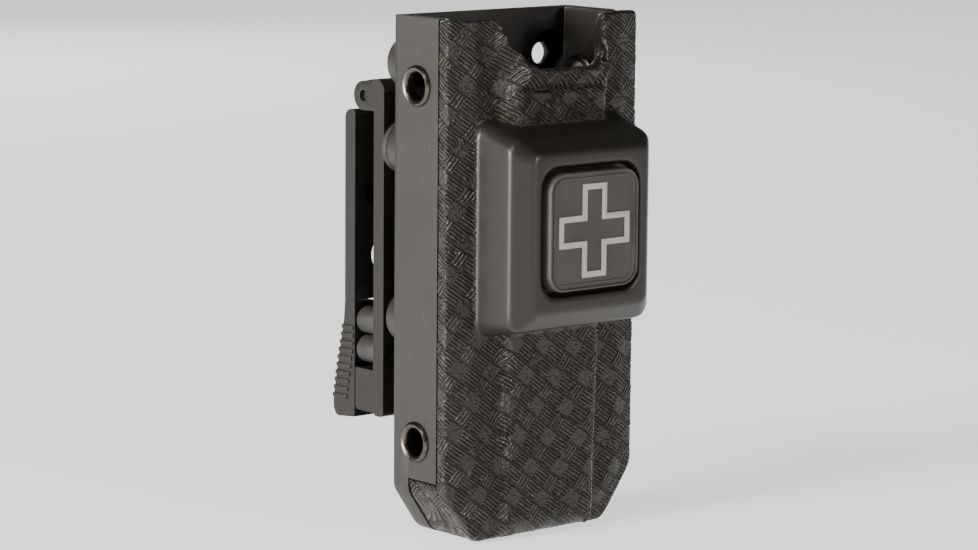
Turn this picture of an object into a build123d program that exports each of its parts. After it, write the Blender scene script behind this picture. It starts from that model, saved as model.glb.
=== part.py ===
from build123d import *
import os

# Rigid belt case for a tourniquet: two thermoformed shells joined by eyelets,
# a medical badge in the front boss, and a hinged belt clip screwed to the back.
#
# Frame, in millimetres: X across the case (+X is right, seen from the front),
# Y through it (the front faces -Y, the belt clip is on +Y), Z up.
# Everything is drawn from the middle of the case bottom on the outer face of the back
# wall, then moved forwards or back so that the origin is the middle of the footprint.

os.makedirs("parts", exist_ok=True)

# ---------------------------------------------------------------- case sizes
case_height = 116.4        # bottom to the top rim
sheet = 2.0                # wall of both thermoformed shells
back_half = 25.8           # half width of the back shell
back_depth = 15.9          # depth of its side walls
back_edge = 1.8            # rounding of its long rear edges
back_corner = (7.3, 10.5)  # bottom corner cut, across and up
short_flange = 6.3         # depth of the back shell's rim round the bottom
short_flange_top = 13.5    # height below which the rim is that short
nest_gap = 0.05            # clearance where the front flange nests in the back shell
sleeve_gap = 0.15          # seam between the short rim and the front shell's corner

front_half = 28.0          # half width of the front shell
front_corner = (9.0, 12.2)  # bottom corner cut, across and up
corner_round = 5.0         # rounding of the bottom corners
flange_rear = 3.0          # how near the front shell's flange comes to the back wall plane
joggle = 2.6               # length of the step from flange to full width
shoulder_depth = 21.5      # depth of the front face at its outer edges
crown = 1.8                # rise of the front face towards the middle
crown_inset = 6.5          # width over which it rises
toe_round = 6.0            # rounding of the front bottom edge
inner_step = 0.55          # where the inside starts its step, in sheet thicknesses
inner_block = 0.25         # where it ends it, in sheet thicknesses

# ---------------------------------------------------------------- centre ridge
ridge_half = 12.3          # half width of the flat of the ridge
ridge_slope = 0.75         # spread of each side per millimetre of height
ridge_foot_depth = 24.6    # depth of the ridge at the case bottom
ridge_top_depth = 28.5     # depth of the ridge at the notch
ridge_draw = 0.7           # how much narrower its inside is, in sheet thicknesses
ridge_start = 0.5          # height of its lower end
trim_gap = 0.05            # how far the side trim stands off its front

# ---------------------------------------------------------------- thumb notch
notch_floor = 105.5        # height of the notch floor
notch_floor_half = 8.3
notch_knee = 110.2         # height where the sides turn steep
notch_knee_half = 13.4
notch_top_half = 15.6
lip_flare = 1.8            # how far the rolled lip stands out
lip_height = 4.4
lip_full = 0.75            # share of the lip's height over which it widens

# ---------------------------------------------------------------- badge boss
boss_base_half = 21.4      # half width where it leaves the front face
boss_base_low = 46.3
boss_base_high = 95.6
boss_wall_half = 20.5      # half width where the bevel starts
boss_wall_low = 48.9
boss_wall_high = 91.2
boss_wall_depth = 33.8
boss_face_half = 16.6      # half width of the front frame
boss_face_low = 53.1
boss_face_high = 88.1
boss_face_depth = 37.7
boss_round = 3.2
boss_face_round = 1.8
boss_draw = 0.6            # how much smaller its inside is at the face, in sheet thicknesses
pocket_half = 14.35        # badge pocket
pocket_depth = 3.0
pocket_round = 5.0

# ---------------------------------------------------------------- badge
badge_half = 13.0
badge_height = 70.7        # height of the badge centre
badge_round = 4.2
badge_proud = 1.05         # badge rim beyond the boss face
badge_rim = 0.55           # width of each raised rim
badge_rim_rise = 0.35
inner_rim_share = 0.6      # height of the inner rim against the outer one
badge_rim_pitch = 1.1      # from the outer rim to the inner one
pad_thickness = 0.5
pad_inset = 1.5
cross_half = 10.3          # half length of the cross arms
cross_arm_half = 3.5
cross_stroke = 1.3
cross_sunk = 0.5
cross_rise = 0.3

# ---------------------------------------------------------------- eyelets
eyelet_depth = 8.8         # distance of the eyelets in front of the back plane
eyelet_heights = {"lower": 22.0, "upper": 101.3}
eyelet_bore = 3.05
eyelet_wall = 0.4
eyelet_fit = 0.05          # radial clearance in the shell holes
eyelet_flange = 4.6
eyelet_dome = 0.9
eyelet_skirt = 0.35        # thickness at the edge of the flange
eyelet_crown = 0.5         # roundness of the flange next to the bore
eyelet_curl = 0.9          # spread of the end clenched inside
eyelet_curl_end = 0.7

# ---------------------------------------------------------------- clip mounting holes
hole_pitch = 38.1          # between the two columns, 1.5 inch
low_row = 48.3             # three holes across, the middle one used
high_row = 86.4            # a pair, both used
spare_row = 105.5          # the open pair near the top rim
hole_radius = 2.55
dimple_rise = 3.3
dimple_base = 6.4
dimple_end = 5.9
dimple_inner_base = 5.85
dimple_inner_end = 4.4
dimple_floor = 1.8
dimple_nose = 0.5          # chamfer round each dimple's end
washer_thickness = 1.7
washer_radius = 5.85

# ---------------------------------------------------------------- belt clip
clip_half = 24.0
clip_plate = 3.6           # thickness of the base and of the gate
belt_gap = 6.7             # room for the belt's thickness
base_bottom = 25.1
gate_bottom = 23.8
slot_top = 94.3            # underside of the knuckles
pin_height = 97.4
pin_radius = 1.25
pin_running = 0.05         # radial clearance of the pin in the gate
pin_place = 0.58           # share of the belt gap from the base to the pin
pin_recess = 0.8           # how deep each pin end sits in its hole
knuckle_radius = 3.3
knuckle_top = 101.4
gate_knuckle_half = 16.4
knuckle_gap = 0.4          # side clearance of the gate knuckle
knuckle_cheek = 2.6        # half height of the neck that joins knuckle and gate
knuckle_room = 6.2         # open space around the gate knuckle for its swing
gate_clear = 0.3           # clearance between the gate and what it closes on
gate_top_round = 2.0
gate_foot_round = 0.9
window_low, window_high = 56.5, 64.7
window_x, window_length = 12.6, 13.2
recess_x, recess_height = 14.4, 75.6
recess_size = (14.0, 8.0)
recess_depth = 1.2
catch_height = 10.3        # catch block at the bottom of the base
catch_lift = 0.6           # catch block above the end of the base
plate_foot_round = 1.2
plate_top_round = 2.6
knuckle_root = 1.0         # how deep added blocks reach into the plate
post_radius = 3.1
post_inset = 3.1           # post centre from the clip's side
post_heights = {"lower": 39.55, "upper": 46.15}
post_screw = 1.4
post_running = 0.05        # radial clearance of the post screws in the base
post_thread_fit = 0.02
post_chamfer = 0.4
post_head_cone = 1.2       # depth of the countersunk head
post_head_flush = 0.1
post_screw_head = 2.5
post_screw_length = 6.0
post_tip = 1.2             # empty thread beyond each post screw

# ---------------------------------------------------------------- release levers
lever_width = 6.4
lever_top = 50.6
lever_travel = 2.9         # slot left for squeezing each lever inwards
lever_gap = 0.06           # seam between the lever's outer top edge and the gate
lever_slope = 0.6          # fall of the lever's top end towards its inner side
lever_line = [             # back of the lever: distance beyond the gate, height
    (0.0, lever_top), (0.1, 48.4), (0.4, 45.6), (1.1, 42.0), (2.1, 37.6), (3.0, 33.2),
    (3.8, 28.8), (4.15, 26.4), (4.0, 24.8), (3.3, 23.6), (2.2, 23.2),
]
rib_count = 10
rib_rise = 0.3
rib_rear_rise = 0.15       # how far the ribs stand out from the back of the lever
rib_pitch = 1.8
rib_first = 28.0
rib_height = 0.9
rib_length = 5.6
rib_depth = 5.0
rib_inset = 0.4            # least distance of the ribs from the lever's front
hook_reach = 3.9
hook_half_height = 2.6
hook_thickness = 1.6
hook_clear = 0.3
hook_extra = 0.4           # more room above, below and behind each hook
hook_swing = 2.1           # how far each hook moves inwards when squeezed

# ---------------------------------------------------------------- lock slide
lock_half = 6.0
lock_height = 9.0
lock_centre = 37.5
lock_cap = 1.8
lock_stem_half = 2.4
lock_stem_height = 4.5
lock_foot = 1.0
lock_travel = 4.0
lock_gap = 0.2
lock_corner = 1.2
lock_rib = (9.6, 1.0)      # length and height of each finger rib
lock_rib_rise = 0.6
lock_rib_pitch = 2.2
lock_rib_round = 0.45

# ---------------------------------------------------------------- screws and post nuts
screw_radius = 1.85
screw_head = 4.1
screw_head_depth = 2.2
screw_reach = 3.4
nut_barrel = 2.45
nut_bore = 1.9
nut_flange = 4.0
nut_flange_thickness = 1.2
nut_length = 4.1
fastener_fit = 0.1         # radial clearance round barrels and heads
fastener_edge = 0.3        # chamfer of washers and flanges
head_flush = 0.15          # screw heads below the base's surface
head_cone = 0.25           # straight part under each head
hex_radius = 1.6           # hexagon socket
hex_depth = 1.2
pin_chamfer = 0.25

# ---------------------------------------------------------------- worked out
over = 20.0                                   # how far open shapes run past the rim
past = 1.0                                    # how far a cut starts and ends beyond a plate
hole_x = hole_pitch / 2
clip_front = dimple_rise + washer_thickness   # clip base face towards the case
clip_back = clip_front + clip_plate
gate_front = clip_back + belt_gap
gate_back = gate_front + clip_plate
pin_y = clip_back + belt_gap * pin_place
pocket_floor = boss_face_depth - pocket_depth
badge_back = pocket_floor + pad_thickness
badge_front = boss_face_depth + badge_proud
badge_face = badge_front - badge_rim_rise
ridge_rise = (ridge_top_depth - ridge_foot_depth) / notch_floor
lever_flare = max(out for out, _ in lever_line) + rib_rear_rise
frame_shift = (badge_front - gate_back - lever_flare) / 2
sides = {"left": -1, "right": 1}
fixings = {                                   # screws that hold the clip, as (x, z)
    "left": (-hole_x, high_row),
    "right": (hole_x, high_row),
    "lower": (0, low_row),
}


def finish(piece, name):
    """Label a piece, move it from the back wall plane to the middle of the footprint, write it."""
    piece.part.move(Location((0, frame_shift, 0)))
    piece.part.label = name
    export_step(piece.part, f"parts/{name}.step")


def case_outline(plane, half, bottom, corner, inset=0.0):
    """Front view of a shell: straight sides, cut and rounded bottom corners, open top."""
    with BuildSketch(plane) as view:
        with BuildLine():
            Polyline(
                (-half, case_height + over),
                (-half, bottom + corner[1]),
                (-half + corner[0], bottom),
                (half - corner[0], bottom),
                (half, bottom + corner[1]),
                (half, case_height + over),
                close=True,
            )
        make_face()
        fillet(view.vertices().group_by(Axis.Y)[:-1], corner_round)
        if inset:
            offset(amount=-inset, mode=Mode.REPLACE)
    return view.sketch


def turned(origin, direction, corners):
    """Solid of revolution about a line; corners are (distance along it, radius)."""
    plane = Plane(origin=origin, x_dir=direction, z_dir=(0, 0, 1))
    with BuildPart() as solid:
        with BuildSketch(plane):
            with BuildLine():
                Polyline(*corners, close=True)
            make_face()
        revolve(axis=Axis(origin, direction))
    return solid.part


def rounded_panel(depth, half, low, high, radius):
    """Rounded rectangle facing the front at a depth, between two heights."""
    middle = (low + high) / 2
    with BuildSketch(Plane.XZ.offset(depth)) as view:
        with Locations((0, middle)):
            RectangleRounded(2 * half, high - low, radius)
    return view.sketch


# ================================================================ back shell
paired_rows = [low_row, high_row, spare_row]
hole_places = [(side * hole_x, z) for side in sides.values() for z in paired_rows]
hole_places.append((0, low_row))


with BuildPart() as back_shell:
    extrude(case_outline(Plane.XZ, back_half, 0, back_corner), amount=back_depth)
    rear = back_shell.faces().sort_by(Axis.Y)[-1]
    fillet(rear.edges().filter_by(Axis.X, reverse=True), back_edge)
    hollow = case_outline(Plane.XZ.offset(sheet), back_half, 0, back_corner, inset=sheet)
    extrude(hollow, amount=back_depth, mode=Mode.SUBTRACT)
    with BuildSketch(Plane.XZ.offset(short_flange)):
        Rectangle(4 * back_half, 2 * short_flange_top)
    extrude(amount=back_depth, mode=Mode.SUBTRACT)
    with BuildSketch(Plane.XY.offset(case_height)):
        Rectangle(4 * back_half, 4 * back_depth)
    extrude(amount=2 * over, mode=Mode.SUBTRACT)
    for x, z in hole_places:
        add(turned((x, 0, z), (0, 1, 0), [
            (-sheet / 2, 0), (-sheet / 2, dimple_base), (0, dimple_base),
            (dimple_rise - dimple_nose, dimple_end), (dimple_rise, dimple_end - dimple_nose),
            (dimple_rise, 0),
        ]))
    for x, z in hole_places:
        add(turned((x, 0, z), (0, 1, 0), [
            (-2 * sheet, 0), (-2 * sheet, dimple_inner_base), (-sheet, dimple_inner_base),
            (dimple_rise - dimple_floor, dimple_inner_end), (dimple_rise - dimple_floor, 0),
        ]), mode=Mode.SUBTRACT)
        add(turned((x, 0, z), (0, 1, 0), [
            (0, 0), (0, hole_radius), (2 * dimple_rise, hole_radius), (2 * dimple_rise, 0),
        ]), mode=Mode.SUBTRACT)
    for z in eyelet_heights.values():
        with BuildSketch(Plane.YZ.offset(-2 * back_half)):
            with Locations((-eyelet_depth, z)):
                Circle(eyelet_bore + eyelet_wall + eyelet_fit)
        extrude(amount=4 * back_half, mode=Mode.SUBTRACT)
finish(back_shell, "back_shell")


# ================================================================ front shell
def ridge_section(z, depth, thin):
    """Trapezoid of the centre ridge in plan, standing from inside the shell."""
    root = shoulder_depth - sheet
    spread = (depth - thin - root) * ridge_slope
    flat = ridge_half - thin * ridge_draw
    with BuildSketch(Plane.XY.offset(z)) as plan:
        with BuildLine():
            Polyline(
                (-flat - spread, -root), (-flat, thin - depth),
                (flat, thin - depth), (flat + spread, -root), close=True,
            )
        make_face()
    return plan.sketch


def front_form(thin):
    """Outer form of the front shell, drawn in by the sheet thickness for its inside."""
    flange = back_half - sheet - nest_gap
    step = thin * inner_step
    block = thin * inner_block
    side_depth = back_depth + joggle
    with BuildPart() as form:
        rear = flange_rear - (sheet if thin else 0)
        near = case_outline(Plane.XZ.offset(rear), flange, sheet + nest_gap, back_corner, thin)
        extrude(near, amount=back_depth + step - rear)
        low = Plane.XZ.offset(back_depth + step)
        high = Plane.XZ.offset(side_depth + block)
        loft([
            case_outline(low, flange, sheet + nest_gap, back_corner, thin),
            case_outline(high, front_half, 0, front_corner, thin),
        ], ruled=True)
        wide = case_outline(high, front_half, 0, front_corner, thin)
        extrude(wide, amount=shoulder_depth - thin - side_depth - block)
        edge = Plane.XZ.offset(shoulder_depth - thin)
        loft([
            case_outline(edge, front_half, 0, front_corner, thin),
            case_outline(edge.offset(crown), front_half, 0, front_corner, thin + crown_inset),
        ], ruled=True)
        loft([
            ridge_section(thin + ridge_start, ridge_foot_depth, thin),
            ridge_section(case_height + over, ridge_foot_depth + ridge_rise * (case_height + over), thin),
        ], ruled=True)
        loft([
            rounded_panel(shoulder_depth - sheet, boss_base_half - thin, boss_base_low + thin,
                          boss_base_high - thin, boss_round),
            rounded_panel(boss_wall_depth - thin, boss_wall_half - thin, boss_wall_low + thin,
                          boss_wall_high - thin, boss_round),
            rounded_panel(boss_face_depth - thin, boss_face_half - thin * boss_draw,
                          boss_face_low + thin * boss_draw, boss_face_high - thin * boss_draw,
                          boss_face_round),
        ], ruled=True)
        with BuildSketch(Plane.YZ.offset(-2 * front_half)) as side_view:
            ledge = boss_base_low - 2 * sheet
            front = ridge_foot_depth - thin + trim_gap
            with BuildLine():
                Polyline(
                    (over, thin), (over, case_height + 2 * over),
                    (-2 * boss_face_depth, case_height + 2 * over),
                    (-2 * boss_face_depth, ledge), (-front - ridge_rise * ledge, ledge),
                    (-front, thin), close=True,
                )
            make_face()
            toe = side_view.vertices().sort_by_distance((-front, thin, 0))[0]
            fillet(toe, toe_round - thin)
        extrude(amount=4 * front_half, mode=Mode.INTERSECT)
    return form.part


def corner_sleeve(thin):
    """Foot of the front shell, flush with the back shell below its side walls."""
    start = short_flange + sleeve_gap + thin
    with BuildPart() as sleeve:
        with BuildSketch(Plane.XZ.offset(start)):
            add(case_outline(Plane.XY, back_half, 0, back_corner, thin))
            Rectangle(4 * back_half, 2 * (short_flange_top - sleeve_gap - thin), mode=Mode.INTERSECT)
        extrude(amount=back_depth + joggle / 2 - start)
    return sleeve.part


lip_root = ridge_foot_depth + ridge_rise * (notch_floor - lip_height)

with BuildPart() as front_shell:
    add(front_form(0))
    add(corner_sleeve(0))
    with BuildSketch(Plane.YZ.offset(-ridge_half)):
        with BuildLine():
            Polyline(
                (-lip_root + sheet, notch_floor - lip_height),
                (-lip_root, notch_floor - lip_height),
                (-ridge_top_depth - lip_flare, notch_floor - lip_height * (1 - lip_full)),
                (-ridge_top_depth - lip_flare, notch_floor + past),
                (-lip_root + sheet, notch_floor + past), close=True,
            )
        make_face()
    extrude(amount=2 * ridge_half)
    add(front_form(sheet), mode=Mode.SUBTRACT)
    add(corner_sleeve(sheet), mode=Mode.SUBTRACT)
    with BuildSketch(Plane.XZ.offset(pocket_floor - sheet)):
        with Locations((0, badge_height)):
            RectangleRounded(2 * (pocket_half + sheet), 2 * (pocket_half + sheet),
                             pocket_round + sheet)
    extrude(amount=boss_face_depth - sheet / 2 - pocket_floor + sheet)
    with BuildSketch(Plane.XZ.offset(pocket_floor)):
        with Locations((0, badge_height)):
            RectangleRounded(2 * pocket_half, 2 * pocket_half, pocket_round)
    extrude(amount=2 * pocket_depth, mode=Mode.SUBTRACT)
    with BuildSketch(Plane.XZ.offset(back_depth - sheet)):
        with BuildLine():
            Polyline(
                (-notch_top_half, case_height + 2 * over), (-notch_top_half, case_height),
                (-notch_knee_half, notch_knee), (-notch_floor_half, notch_floor),
                (notch_floor_half, notch_floor), (notch_knee_half, notch_knee),
                (notch_top_half, case_height), (notch_top_half, case_height + 2 * over),
                close=True,
            )
        make_face()
    extrude(amount=2 * boss_face_depth, mode=Mode.SUBTRACT)
    with BuildSketch(Plane.XY.offset(case_height)):
        Rectangle(4 * front_half, 4 * boss_face_depth)
    extrude(amount=4 * over, mode=Mode.SUBTRACT)
    for z in eyelet_heights.values():
        with BuildSketch(Plane.YZ.offset(-2 * back_half)):
            with Locations((-eyelet_depth, z)):
                Circle(eyelet_bore + eyelet_wall + eyelet_fit)
        extrude(amount=4 * back_half, mode=Mode.SUBTRACT)
finish(front_shell, "front_shell")

# ================================================================ eyelets
for side_name, side in sides.items():
    for row_name, z in eyelet_heights.items():
        grip = 2 * sheet + nest_gap
        inner = -grip - eyelet_dome
        tube = eyelet_bore + eyelet_wall
        with BuildPart() as eyelet:
            add(turned((side * back_half, -eyelet_depth, z), (side, 0, 0), [
                (inner, eyelet_bore), (inner, tube + eyelet_curl_end), (-grip, tube + eyelet_curl),
                (-grip, tube), (0, tube), (0, eyelet_flange), (eyelet_skirt, eyelet_flange),
                (eyelet_dome, eyelet_flange - eyelet_dome), (eyelet_dome, eyelet_bore + eyelet_crown),
                (eyelet_skirt, eyelet_bore),
            ]))
        finish(eyelet, f"eyelet_{row_name}_{side_name}")

# ================================================================ badge
with BuildPart() as badge_pad:
    with BuildSketch(Plane.XZ.offset(pocket_floor)):
        with Locations((0, badge_height)):
            RectangleRounded(2 * (badge_half - pad_inset), 2 * (badge_half - pad_inset),
                             badge_round - pad_inset)
    extrude(amount=pad_thickness)
finish(badge_pad, "badge_pad")


def cross_outline(plane, reach, arm):
    """Plain medical cross with equal arms."""
    with BuildSketch(plane) as view:
        with Locations((0, badge_height)):
            Rectangle(2 * reach, 2 * arm)
            Rectangle(2 * arm, 2 * reach)
    return view.sketch


def rim_ring(plane, half, radius):
    """Square ring with rounded corners, one rim wide."""
    with BuildSketch(plane) as view:
        with Locations((0, badge_height)):
            RectangleRounded(2 * half, 2 * half, radius)
            RectangleRounded(2 * (half - badge_rim), 2 * (half - badge_rim),
                             radius - badge_rim, mode=Mode.SUBTRACT)
    return view.sketch


with BuildPart() as badge_base:
    with BuildSketch(Plane.XZ.offset(badge_back)):
        with Locations((0, badge_height)):
            RectangleRounded(2 * badge_half, 2 * badge_half, badge_round)
    extrude(amount=badge_face - badge_back)
    face_plane = Plane.XZ.offset(badge_face)
    extrude(rim_ring(face_plane, badge_half, badge_round), amount=badge_rim_rise)
    extrude(rim_ring(face_plane, badge_half - badge_rim_pitch, badge_round - badge_rim_pitch),
            amount=badge_rim_rise * inner_rim_share)
    groove = Plane.XZ.offset(badge_face - cross_sunk)
    extrude(cross_outline(groove, cross_half, cross_arm_half), amount=2 * cross_sunk, mode=Mode.SUBTRACT)
    extrude(cross_outline(groove, cross_half - cross_stroke, cross_arm_half - cross_stroke),
            amount=cross_sunk)
finish(badge_base, "badge_base")

with BuildPart() as badge_cross:
    extrude(cross_outline(groove, cross_half, cross_arm_half), amount=cross_sunk + cross_rise)
    extrude(cross_outline(groove, cross_half - cross_stroke, cross_arm_half - cross_stroke),
            amount=2 * (cross_sunk + cross_rise), mode=Mode.SUBTRACT)
finish(badge_cross, "badge_cross")

# ================================================================ clip base
catch_low = base_bottom + catch_lift
catch_top = base_bottom + catch_height
catch_back = gate_front - gate_clear
hook_room = hook_clear + hook_extra


def side_profile(plane, corners, rounds=()):
    """Profile seen from the side, as (y, z) corners; rounds are (corner number, radius)."""
    with BuildSketch(plane) as view:
        with BuildLine():
            Polyline(*corners, close=True)
        make_face()
        for number, radius in rounds:
            y, z = corners[number]
            fillet(view.vertices().sort_by_distance((y, z, 0))[0], radius)
    return view.sketch


lever_x = clip_half - lever_width / 2           # middle of each lever
hook_z = base_bottom + catch_height / 2
pocket_width = hook_thickness + hook_swing + 2 * hook_clear

with BuildPart() as clip_base:
    plate = Plane.YZ.offset(-clip_half)
    extrude(side_profile(plate, [
        (clip_front, base_bottom), (clip_back, base_bottom),
        (clip_back, knuckle_top), (clip_front, knuckle_top),
    ], rounds=[(0, plate_foot_round), (1, plate_foot_round), (3, plate_top_round)]), amount=2 * clip_half)
    extrude(side_profile(plate, [
        (clip_back - knuckle_root, slot_top), (pin_y, pin_height - knuckle_radius),
        (pin_y, pin_height + knuckle_radius), (clip_back, knuckle_top),
        (clip_back - knuckle_root, knuckle_top),
    ]), amount=2 * clip_half)
    with BuildSketch(plate):
        with Locations((pin_y, pin_height)):
            Circle(knuckle_radius)
    extrude(amount=2 * clip_half)
    extrude(side_profile(plate, [
        (clip_back - knuckle_root, catch_low), (catch_back, catch_low),
        (catch_back, catch_top), (clip_back - knuckle_root, catch_top),
    ], rounds=[(1, plate_foot_round)]), amount=2 * clip_half)
    gap_half = gate_knuckle_half + knuckle_gap
    with BuildSketch(Plane.YZ.offset(-gap_half)):
        with Locations((pin_y, pin_height)):
            Circle(knuckle_radius + 2 * gate_clear)
        with Locations((pin_y, pin_height)):
            Rectangle(knuckle_room, 2 * knuckle_room, align=(Align.MIN, Align.CENTER))
        with Locations((pin_y - knuckle_radius - knuckle_gap, pin_height)):
            Rectangle(knuckle_room, knuckle_room, align=(Align.MIN, Align.MIN))
    extrude(amount=2 * gap_half, mode=Mode.SUBTRACT)
    with BuildSketch(Plane.YZ.offset(-clip_half)):
        with Locations((pin_y, pin_height)):
            Circle(pin_radius)
    extrude(amount=2 * clip_half, mode=Mode.SUBTRACT)
    for side in sides.values():
        with BuildSketch(Plane.XZ.offset(-catch_back)):
            with Locations((side * (lever_x - hook_swing / 2), hook_z)):
                Rectangle(pocket_width, 2 * (hook_half_height + hook_room))
        extrude(amount=hook_reach + hook_room, mode=Mode.SUBTRACT)
        for z in post_heights.values():
            post_x = side * (clip_half - post_inset)
            add(turned((post_x, 0, z), (0, 1, 0), [
                (clip_front - past, 0), (clip_front - past, post_screw_head), (clip_front, post_screw_head),
                (clip_front + post_head_cone, post_screw + post_running),
                (clip_back + past, post_screw + post_running),
                (clip_back + past, 0),
            ]), mode=Mode.SUBTRACT)
    for x, z in fixings.values():
        add(turned((x, 0, z), (0, 1, 0), [
            (clip_front - past, 0), (clip_front - past, nut_barrel + fastener_fit),
            (clip_back - screw_head_depth, nut_barrel + fastener_fit),
            (clip_back, screw_head + fastener_fit), (clip_back + past, screw_head + fastener_fit),
            (clip_back + past, 0),
        ]), mode=Mode.SUBTRACT)
finish(clip_base, "clip_base")

# ================================================================ hinge pin
pin_half = clip_half - pin_recess
with BuildPart() as hinge_pin:
    with BuildSketch(Plane.YZ.offset(-pin_half)):
        with Locations((pin_y, pin_height)):
            Circle(pin_radius)
    extrude(amount=2 * pin_half)
    chamfer(hinge_pin.edges().filter_by(GeomType.CIRCLE), pin_chamfer)
finish(hinge_pin, "hinge_pin")

# ================================================================ gate
lever_inner = clip_half - lever_width - lever_travel
cut_top = lever_top + lever_gap
cut_low = gate_bottom - past
with BuildPart() as gate:
    gate_top = slot_top - gate_clear
    extrude(side_profile(Plane.YZ.offset(-clip_half), [
        (gate_front, gate_bottom), (gate_back, gate_bottom), (gate_back, gate_top),
        (gate_front, gate_top),
    ], rounds=[(1, gate_foot_round), (2, gate_top_round), (3, gate_foot_round)]), amount=2 * clip_half)
    with BuildSketch(Plane.YZ.offset(-gate_knuckle_half)):
        with Locations((pin_y, pin_height)):
            Circle(knuckle_radius)
    extrude(amount=2 * gate_knuckle_half)
    extrude(side_profile(Plane.YZ.offset(-gate_knuckle_half), [
        (gate_front, gate_top - knuckle_root), (gate_back, gate_top - 2 * knuckle_root),
        (gate_back, pin_height - knuckle_root), (pin_y + knuckle_radius / 2, pin_height + knuckle_cheek),
        (pin_y, pin_height - knuckle_cheek),
    ]), amount=2 * gate_knuckle_half)
    with BuildSketch(Plane.YZ.offset(-clip_half)):
        with Locations((pin_y, pin_height)):
            Circle(pin_radius + pin_running)
    extrude(amount=2 * clip_half, mode=Mode.SUBTRACT)
    for side in sides.values():
        cut_mid = side * (lever_inner + clip_half + 2 * past) / 2
        with BuildSketch(Plane.XZ.offset(past - gate_front)):
            with Locations((cut_mid, (cut_top + cut_low) / 2)):
                Rectangle(clip_half + 2 * past - lever_inner, cut_top - cut_low)
            with Locations((side * window_x, (window_low + window_high) / 2)):
                SlotOverall(window_length, window_high - window_low)
        extrude(amount=-clip_plate - 2 * past, mode=Mode.SUBTRACT)
        with BuildSketch(Plane.XZ.offset(-gate_front)):
            with Locations((side * recess_x, recess_height)):
                SlotOverall(*recess_size)
        extrude(amount=-recess_depth, mode=Mode.SUBTRACT)
    slot_middle = lock_centre + lock_travel / 2
    slot_length = lock_stem_height + lock_travel + 2 * lock_gap
    with BuildSketch(Plane.XZ.offset(past - gate_front)):
        with Locations((0, slot_middle)):
            Rectangle(2 * (lock_stem_half + lock_gap), slot_length)
    extrude(amount=-clip_plate - 2 * past, mode=Mode.SUBTRACT)
    with BuildSketch(Plane.XZ.offset(past - gate_front)):
        with Locations((0, slot_middle)):
            Rectangle(2 * (lock_half + lock_gap), lock_height + lock_travel + 2 * lock_gap)
    extrude(amount=-lock_foot - 2 * lock_gap - past, mode=Mode.SUBTRACT)
finish(gate, "gate")

# ================================================================ release levers
def lever_rear(z):
    """How far the back of a lever stands beyond the gate at a height."""
    for (high_out, high), (low_out, low) in zip(lever_line, lever_line[1:]):
        if low <= z <= high:
            return low_out + (high_out - low_out) * (z - low) / (high - low)
    return 0.0


for side_name, side in sides.items():
    with BuildPart() as lever:
        outer = side * clip_half
        inner = side * (clip_half - lever_width)
        extrude(side_profile(
            Plane.YZ.offset(min(outer, inner)),
            [(gate_front, gate_bottom), (gate_front, lever_top)]
            + [(gate_back + out, z) for out, z in lever_line],
        ), amount=lever_width)
        with BuildSketch(Plane.XZ.offset(past - gate_front)):
            with BuildLine():
                Polyline((outer, lever_top), (inner, lever_top - lever_slope),
                         (inner, lever_top + lever_slope), (outer, lever_top + lever_slope), close=True)
            make_face()
        extrude(amount=-clip_plate - 2 * past, mode=Mode.SUBTRACT)
        for k in range(rib_count):
            z = rib_first + k * rib_pitch
            rear = gate_back + lever_rear(z) + rib_rear_rise
            front = max(rear - rib_depth, gate_front + rib_inset)
            rib_x = side * (clip_half + rib_rise / 2 - rib_length / 2)
            with BuildSketch(Plane.XY.offset(z - rib_height / 2)):
                with Locations((rib_x, (front + rear) / 2)):
                    Rectangle(rib_length + rib_rise, rear - front)
            extrude(amount=rib_height)
    finish(lever, f"release_lever_{side_name}")

    with BuildPart() as hook:
        with BuildSketch(Plane.XY.offset(hook_z - hook_half_height)):
            with Locations((side * lever_x, gate_front - hook_reach / 2)):
                Rectangle(hook_thickness, hook_reach)
        extrude(amount=2 * hook_half_height)
    finish(hook, f"lever_hook_{side_name}")

# ================================================================ lock slide
with BuildPart() as lock_slide:
    with BuildSketch(Plane.XZ.offset(-gate_back - lock_gap)):
        with Locations((0, lock_centre)):
            RectangleRounded(2 * lock_half, lock_height, lock_corner)
    extrude(amount=-lock_cap)
    for k in (-1, 0, 1):
        with BuildSketch(Plane.XZ.offset(-gate_back - lock_gap - lock_cap)):
            with Locations((0, lock_centre + k * lock_rib_pitch)):
                RectangleRounded(*lock_rib, lock_rib_round)
        extrude(amount=-lock_rib_rise)
    with BuildSketch(Plane.XZ.offset(-gate_front - lock_gap)):
        with Locations((0, lock_centre)):
            Rectangle(2 * lock_stem_half, lock_stem_height)
    extrude(amount=-clip_plate)
    with BuildSketch(Plane.XZ.offset(-gate_front - lock_gap)):
        with Locations((0, lock_centre)):
            Rectangle(2 * lock_half, lock_height)
    extrude(amount=-lock_foot)
finish(lock_slide, "lock_slide")

# ================================================================ belt posts and their screws
for side_name, side in sides.items():
    for row_name, z in post_heights.items():
        place = (side * (clip_half - post_inset), 0, z)
        length = gate_front - gate_clear - clip_back
        end = clip_back + length
        with BuildPart() as post:
            add(turned(place, (0, 1, 0), [
                (clip_back, post_screw), (clip_back, post_radius), (end - post_chamfer, post_radius),
                (end, post_radius - post_chamfer), (end, 0), (clip_front + post_screw_length + post_tip, 0),
                (clip_front + post_screw_length + post_tip, post_screw),
            ]))
        finish(post, f"belt_post_{row_name}_{side_name}")

with BuildPart() as post_screws:
    for side in sides.values():
        for z in post_heights.values():
            add(turned((side * (clip_half - post_inset), 0, z), (0, 1, 0), [
                (clip_front + post_head_flush, 0),
                (clip_front + post_head_flush, post_screw_head - 2 * post_head_flush),
                (clip_front + post_head_cone, post_screw - post_thread_fit),
                (clip_front + post_screw_length, post_screw - post_thread_fit),
                (clip_front + post_screw_length, 0),
            ]))
finish(post_screws, "post_screws")

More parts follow.
